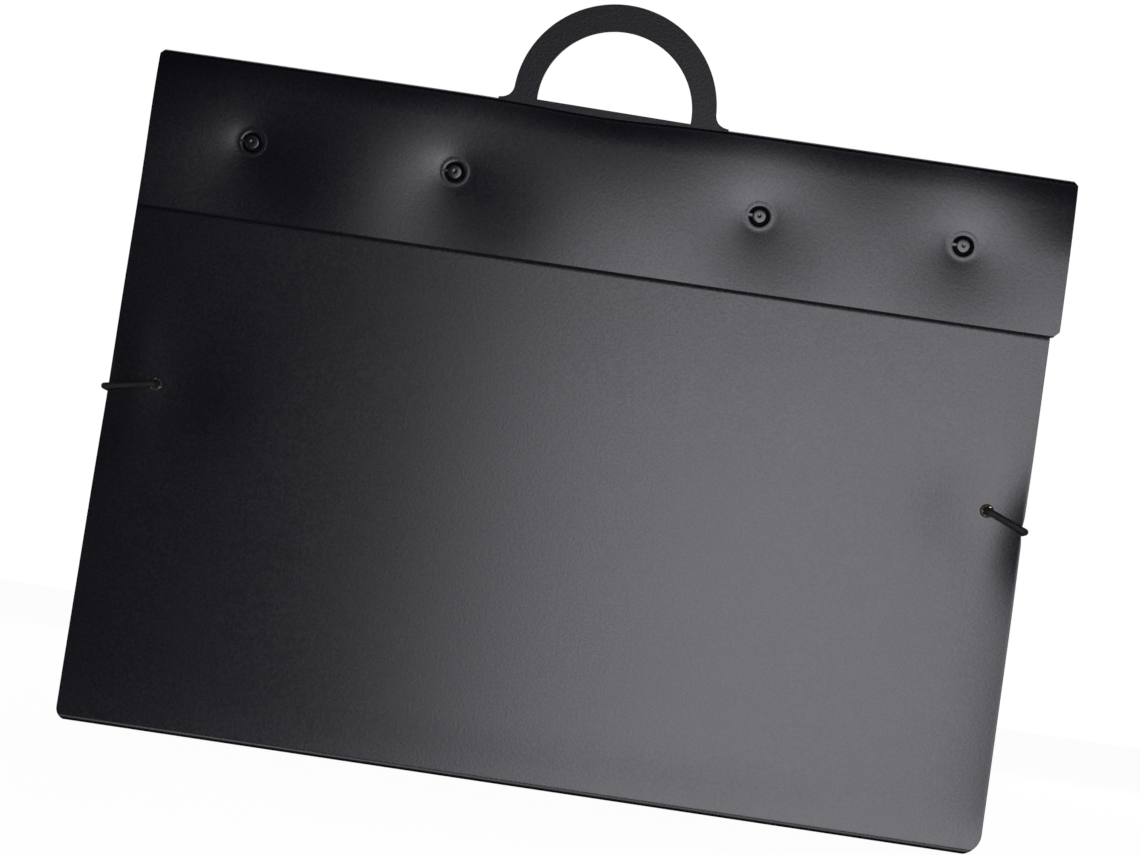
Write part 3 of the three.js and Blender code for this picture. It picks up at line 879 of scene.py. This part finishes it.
# painted shade: the flap's lowest strip gets the darker finish, for the shadow line under its edge
flap_sheet.data.materials.append(CUT_EDGE_AND_SHADE)
for face in flap_sheet.data.polygons:
    if face.center.z < FLAP_BOTTOM + SHADED_CUT_BAND:
        face.material_index = 1
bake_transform(flap_sheet)
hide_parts("flap", "top_panel")
print("flap sheet faces:", len(flap_sheet.data.polygons))

# %% [markdown]
# ## Handle
# One flat plate, die cut: a half-round loop, feet that flare on to the neck, and a wide hidden
# part behind the flap that the two inner studs hold. A torus for the loop would be round in
# section, which this one is not, so the piece starts as an outline. The loop stands a little
# higher than the CAD plate's.

# %% Outline of the handle
LOOP_LIFT = 2.2 * MM
LOOP_OUTER = 71.5 * MM
LOOP_OUTER_Z = CASE_TOP + 4 * MM + LOOP_LIFT
NECK_HALF = LOOP_OUTER + 10 * MM
FOOT_RISE = 3 * MM


def swing(x, z, radius, start, end, steps):
    angles = np.linspace(start, end, steps)
    return [(x + radius * math.cos(a), z + radius * math.sin(a)) for a in angles]


def curve_to(first, control, last, steps=10):
    shares = np.linspace(0, 1, steps)[1:]
    first, control, last = (np.array(point) for point in (first, control, last))
    return [tuple((1 - t) ** 2 * first + 2 * t * (1 - t) * control + t * t * last) for t in shares]


def handle_outline():
    left = handle_low.x
    right = handle_high.x
    bottom = handle_low.z
    corner = 12 * MM
    shoulder = CASE_TOP - SHEET - 1 * MM
    foot_z = CASE_TOP + 0.6 * MM
    foot_angle = math.asin(FOOT_RISE / LOOP_OUTER)
    reach_x = LOOP_OUTER * math.cos(foot_angle)
    middle = HANDLE_MIDDLE
    points = swing(right - corner, bottom + corner, corner, -math.pi / 2, 0, 10)
    points += [(right, shoulder), (middle + NECK_HALF, shoulder), (middle + NECK_HALF, foot_z)]
    points += curve_to(points[-1], (middle + reach_x + 1 * MM, foot_z + 0.6 * MM),
                       (middle + reach_x, LOOP_OUTER_Z + FOOT_RISE))
    points += swing(middle, LOOP_OUTER_Z, LOOP_OUTER, foot_angle, math.pi - foot_angle, 80)
    points += curve_to(points[-1], (middle - reach_x - 1 * MM, foot_z + 0.6 * MM),
                       (middle - NECK_HALF, foot_z))
    points += [(middle - NECK_HALF, shoulder), (left, shoulder)]
    points += swing(left + corner, bottom + corner, corner, math.pi, 1.5 * math.pi, 10)
    return points


print("outline points:", len(handle_outline()))

# %% [markdown]
# ## Making the handle
# A plate cut by Booleans would have knife edges. A filled outline with a small bevel gives the
# slightly rolled edge that a cutting die leaves, round the loop and round its opening.

# %% Make the handle
EDGE = 0.35 * MM
LOOP_INNER = 54.5 * MM
LOOP_INNER_Z = CASE_TOP + 1.5 * MM + LOOP_LIFT
STRIP_LEFT_RISE = 2.3 * MM
STRIP_RIGHT_RISE = 0.5 * MM
SOCKET_HOLE = 7 * MM


def plate_from(name, outlines, low_y, high_y, material):
    curve = bpy.data.curves.new(name, "CURVE")
    curve.dimensions = "2D"
    curve.fill_mode = "BOTH"
    for outline in outlines:
        spline = curve.splines.new("POLY")
        spline.points.add(len(outline) - 1)
        for point, (x, z) in zip(spline.points, outline):
            point.co = (x, z, 0, 1)
        spline.use_cyclic_u = True
    curve.extrude = (high_y - low_y) / 2 - EDGE
    curve.bevel_depth = EDGE
    curve.bevel_resolution = 2
    curve.offset = -EDGE
    holder = bpy.data.objects.new(name, curve)
    bpy.context.collection.objects.link(holder)
    evaluated = holder.evaluated_get(bpy.context.evaluated_depsgraph_get())
    mesh = bpy.data.meshes.new_from_object(evaluated)
    bpy.data.objects.remove(holder)
    stand = Matrix.Translation((0, (low_y + high_y) / 2, 0)) @ Matrix.Rotation(math.pi / 2, 4, "X")
    mesh.transform(stand)
    working = bmesh.new()
    working.from_mesh(mesh)
    bmesh.ops.remove_doubles(working, verts=working.verts, dist=1e-6)
    working.to_mesh(mesh)
    working.free()
    plate = finish_mesh(name, mesh, material, 30)
    for face in plate.data.polygons:
        if abs(face.normal.y) > 0.99:
            face.use_smooth = False
    return plate


strip = CASE_TOP - LOOP_INNER_Z
right_end = math.asin((strip + STRIP_RIGHT_RISE) / LOOP_INNER)
left_end = math.pi - math.asin((strip + STRIP_LEFT_RISE) / LOOP_INNER)
finger_hole = swing(HANDLE_MIDDLE, LOOP_INNER_Z, LOOP_INNER, right_end, left_end, 64)
stud_holes = [swing(place.x, place.z, SOCKET_HOLE, 0, 1.94 * math.pi, 32) for place in STUDS[1:3]]
handle = plate_from("handle_plate", [handle_outline(), finger_hole, *stud_holes],
                    handle_low.y, handle_high.y, HANDLE_BOARD)
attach(handle, "flap")
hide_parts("handle")
print("handle faces:", len(handle.data.polygons))

# %% [markdown]
# ## Press studs
# Each stud is four mouldings: a cap with a flat rim, a ring groove and a domed disc; a socket
# clinched behind the flap; a post that snaps into it; and a washer inside the front panel. All
# are round, so each is turned from a profile of radius and depth in millimetres.

# %% Stud profiles
CAP_PROFILE = [
    [0, -7.9], [2.5, -7.9], [2.5, -8.7], [8.2, -8.7], [8.2, -9.9], [11.0, -9.9],
    [10.6, -10.01], [9.4, -10.05], [8.1, -10.02], [7.2, -9.85], [6.95, -9.6],
    [6.2, -8.95], [6.0, -8.95], [4.93, -10.1], [4.92, -10.75], [4.75, -11.0],
    [4.2, -11.13], [3.2, -11.2], [2.2, -11.24], [1.5, -11.24], [1.0, -11.08], [0.5, -10.98],
    [0, -10.96],
]
SOCKET_PROFILE = [
    [2.8, -8.4], [6, -8.4], [6, -6.8], [5.7, -6.5], [3.3, -6.5], [3.3, -7.6], [2.8, -7.6],
]
POST_PROFILE = [
    [0, -7.6], [1.4, -7.6], [1.7, -7.3], [1.7, -6.2], [6, -6.2], [6, -5.6], [2, -5.6], [2, -3.0],
    [0, -3.0],
]
WASHER_PROFILE = [[2.3, -3.8], [6, -3.8], [6, -3.0], [2.3, -3.0]]
print("points in the cap profile:", len(CAP_PROFILE))

# %% [markdown]
# ## Bridge and finishes of the studs
# A small bridge crosses the groove on the left, where the moulding's gate was. Turning cannot
# make it, so it is a bevelled block that is joined to the cap. The rim and the groove get their
# own finishes by how far each face lies from the axis. The groove's nearly black finish is
# painted shade for its deep hollow.

# %% Make the studs
RIM_FROM = 6.98 * MM
GROOVE_FROM = 4.95 * MM
GROOVE_TOP = -10.1 * MM


def join(pieces):
    first, *others = pieces
    joined = bmesh.new()
    for piece in pieces:
        joined.from_mesh(piece.data)
    joined.to_mesh(first.data)
    joined.free()
    for piece in others:
        bpy.data.objects.remove(piece)
    return first


def bridge(name, place):
    block = bmesh.new()
    bmesh.ops.create_cube(block, size=1.0, matrix=Matrix.Translation(
        (place.x - 6.3 * MM, -9.9 * MM, place.z)) @ Matrix.Diagonal((4 * MM, 1.3 * MM, 1.9 * MM, 1)))
    bmesh.ops.bevel(block, geom=block.edges[:], offset=0.3 * MM, segments=3, affect="EDGES")
    mesh = bpy.data.meshes.new(name)
    block.to_mesh(mesh)
    block.free()
    return finish_mesh(name, mesh, CAP_GLOSS)


for number, place in enumerate(STUDS, 1):
    cap = lathe(f"cap_{number}", CAP_PROFILE, place, CAP_GLOSS, segments=96)
    cap = join([cap, bridge(f"bridge_{number}", place)])
    cap.data.materials.append(CAP_RIM)
    cap.data.materials.append(CAP_GROOVE_SHADE)
    for face in cap.data.polygons:
        outward = math.hypot(face.center.x - place.x, face.center.z - place.z)
        if outward > RIM_FROM:
            face.material_index = 1
        # painted shade: faces in the groove get the nearly black finish
        elif outward > GROOVE_FROM and face.center.y > GROOVE_TOP:
            face.material_index = 2
    socket = lathe(f"socket_{number}", SOCKET_PROFILE, place, STUD_DULL, closed=True, passes=1)
    post = lathe(f"post_{number}", POST_PROFILE, place, STUD_DULL, passes=1)
    washer = lathe(f"washer_{number}", WASHER_PROFILE, place, STUD_DULL, closed=True, passes=1)
    for piece, body, slot_name in (
        (cap, "flap", "stud_cap"), (socket, "flap", "stud_inner"),
        (post, "front", "stud_inner"), (washer, "front", "stud_inner"),
    ):
        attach(piece, body)
        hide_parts(f"stud_{piece.name}")
print("studs:", len(STUDS))

# %% [markdown]
# ## Elastic cords
# Each cord runs from a barb inside the front panel, out through an eyelet, round both panels'
# edges and back in behind. Its ends are held and it lies on the panels, so its shape is fixed by
# a route of points and nothing is simulated.

# %% Routes of the cords
LEFT_ROUTE = [
    (-0.2920, -0.0043, 0.2395), (-0.2920, -0.0062, 0.2395), (-0.2928, -0.0080, 0.2394),
    (-0.2948, -0.0088, 0.2391), (-0.2990, -0.0087, 0.2384), (-0.3050, -0.0079, 0.2373),
    (-0.3130, -0.0076, 0.2357), (-0.3236, -0.0075, 0.2336), (-0.3268, -0.0069, 0.2331),
    (-0.3275, -0.0042, 0.2330), (-0.3275, 0.0038, 0.2330), (-0.3275, 0.0119, 0.2330),
    (-0.3268, 0.0146, 0.2331), (-0.3236, 0.0152, 0.2336), (-0.3130, 0.0153, 0.2357),
    (-0.3050, 0.0156, 0.2373), (-0.2990, 0.0164, 0.2384), (-0.2948, 0.0165, 0.2391),
    (-0.2928, 0.0157, 0.2394), (-0.2920, 0.0139, 0.2395), (-0.2920, 0.0120, 0.2395),
]
RIGHT_ROUTE = [
    (0.2930, -0.0043, 0.2365), (0.2930, -0.0062, 0.2365), (0.2937, -0.0080, 0.2363),
    (0.2955, -0.0088, 0.2357), (0.2995, -0.0087, 0.2343), (0.3045, -0.0079, 0.2323),
    (0.3100, -0.0076, 0.2302), (0.3180, -0.0075, 0.2270), (0.3208, -0.0069, 0.2260),
    (0.3215, -0.0042, 0.2257), (0.3215, 0.0038, 0.2256), (0.3215, 0.0119, 0.2257),
    (0.3208, 0.0146, 0.2260), (0.3180, 0.0152, 0.2270), (0.3100, 0.0153, 0.2302),
    (0.3045, 0.0156, 0.2323), (0.2995, 0.0164, 0.2343), (0.2955, 0.0165, 0.2357),
    (0.2937, 0.0157, 0.2363), (0.2930, 0.0139, 0.2365), (0.2930, 0.0120, 0.2365),
]
print("route points:", len(LEFT_ROUTE), len(RIGHT_ROUTE))

# %% [markdown]
# ## Braid
# The cover is braided. A bump would vanish at the cord's outline, so the tube's radius itself
# follows two families of strands that cross.

# %% Braid
CORD_RADIUS = 2.2 * MM
CORD_STEP = 0.22 * MM
BRAID_PITCH = 2.6 * MM
BRAID_RELIEF = 0.13 * MM
STRANDS = 8


def smooth_route(points, step):
    """Catmull-Rom through the points, then even steps along it."""
    knots = np.array([points[0], *points, points[-1]], float)
    fine = []
    for index in range(1, len(knots) - 2):
        a, b, c, d = knots[index - 1:index + 3]
        for t in np.linspace(0, 1, 24, endpoint=False):
            fine.append(0.5 * (2 * b + (c - a) * t + (2 * a - 5 * b + 4 * c - d) * t**2
                               + (3 * b - a - 3 * c + d) * t**3))
    fine = np.array([*fine, knots[-1]])
    travelled = np.concatenate([[0], np.cumsum(np.linalg.norm(np.diff(fine, axis=0), axis=1))])
    marks = np.linspace(0, travelled[-1], int(travelled[-1] / step))
    return np.stack([np.interp(marks, travelled, fine[:, axis]) for axis in range(3)], axis=1)


def braided_cord(name, route):
    middle = smooth_route(route, CORD_STEP)
    count = len(middle)
    around = 48
    tangent = np.gradient(middle, axis=0)
    tangent /= np.linalg.norm(tangent, axis=1, keepdims=True)
    side = np.cross(tangent, (0, 0, 1))
    side /= np.linalg.norm(side, axis=1, keepdims=True)
    up = np.cross(side, tangent)
    angle = np.arange(around) * 2 * math.pi / around
    along = np.arange(count)[:, None] * CORD_STEP / BRAID_PITCH * 2 * math.pi
    left_hand = np.cos(STRANDS * angle[None, :] + along)
    right_hand = np.cos(STRANDS * angle[None, :] - along)
    radius = CORD_RADIUS + BRAID_RELIEF * (np.maximum(left_hand, right_hand) - 0.9)
    rings = (middle[:, None, :]
             + side[:, None, :] * (radius * np.cos(angle))[:, :, None]
             + up[:, None, :] * (radius * np.sin(angle))[:, :, None])
    index = np.arange(count * around).reshape(count, around)
    right = np.roll(index, -1, axis=1)
    faces = np.stack([index[:-1], right[:-1], right[1:], index[1:]], axis=2).reshape(-1, 4)
    ends = [index[0, ::-1].tolist(), index[-1].tolist()]
    mesh = bpy.data.meshes.new(name)
    mesh.from_pydata(rings.reshape(-1, 3).tolist(), [], faces.tolist() + ends)
    working = bmesh.new()
    working.from_mesh(mesh)
    bmesh.ops.recalc_face_normals(working, faces=working.faces)
    working.to_mesh(mesh)
    working.free()
    return finish_mesh(name, mesh, ELASTIC, 60)


print("strand rings in the left cord:", len(smooth_route(LEFT_ROUTE, CORD_STEP)))

# %% [markdown]
# ## Eyelets and barbs
# An eyelet is a rolled ring, clinched through the sheet. A barb is a short rod across the cord's
# end. Both are turned, and the barb is then stood upright.

# %% Eyelets and barbs
def eyelet_profile(face, outward):
    seat = face + outward * 0.3
    top = seat + outward * 0.6
    inner = face - outward * 1.1
    return [
        [2.4, inner], [3.2, inner], [3.2, seat], [4.8, seat], [4.8, seat + outward * 0.3],
        [4.2, top], [3.4, top + outward * 0.03], [2.8, top], [2.4, seat + outward * 0.2],
    ]


def barb(name, place):
    profile = [[0, -6], [0.7, -6], [1.1, -5.5], [1.1, 5.5], [0.7, 6], [0, 6]]
    rod = lathe(name, profile, Vector((0, 0, 0)), STEEL, segments=32, passes=1)
    rod.data.transform(Matrix.Translation(place) @ Matrix.Rotation(math.pi / 2, 4, "X"))
    return rod


print("eyelet profile points:", len(eyelet_profile(0, 1)))

# %% [markdown]
# ## Making the cords
# The cord stretches as the front leans out, so riding on one body would tear it off the other.
# The rings and rods ride on their panels.

# %% Make the cords
for side, route in (("left", LEFT_ROUTE), ("right", RIGHT_ROUTE)):
    rope = braided_cord(f"cord_{side}", route)
    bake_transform(rope)
    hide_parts(f"elastic_cord_{side}")
    for end, body, face, outward in (
        ("front", "front", FRONT_OUTER / MM, -1), ("rear", "rear_shell", BACK_OUTER / MM, 1),
    ):
        name = f"{end}_{side}"
        ring = lathe(f"ring_{name}", eyelet_profile(face, outward), centre(f"eyelet_{name}"),
                     BRASS, closed=True, passes=2)
        rod = barb(f"rod_{name}", centre(f"cord_barb_{name}"))
        for piece, node, slot_name in (
            (ring, f"eyelet_{name}", "eyelet"), (rod, f"cord_barb_{name}", "barb"),
        ):
            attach(piece, body)
            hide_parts(node)
print("cords made")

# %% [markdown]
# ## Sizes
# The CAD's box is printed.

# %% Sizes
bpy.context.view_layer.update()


def plain(box):
    return [[float(value) for value in corner] for corner in box]


print("cad:", plain(cad_box))
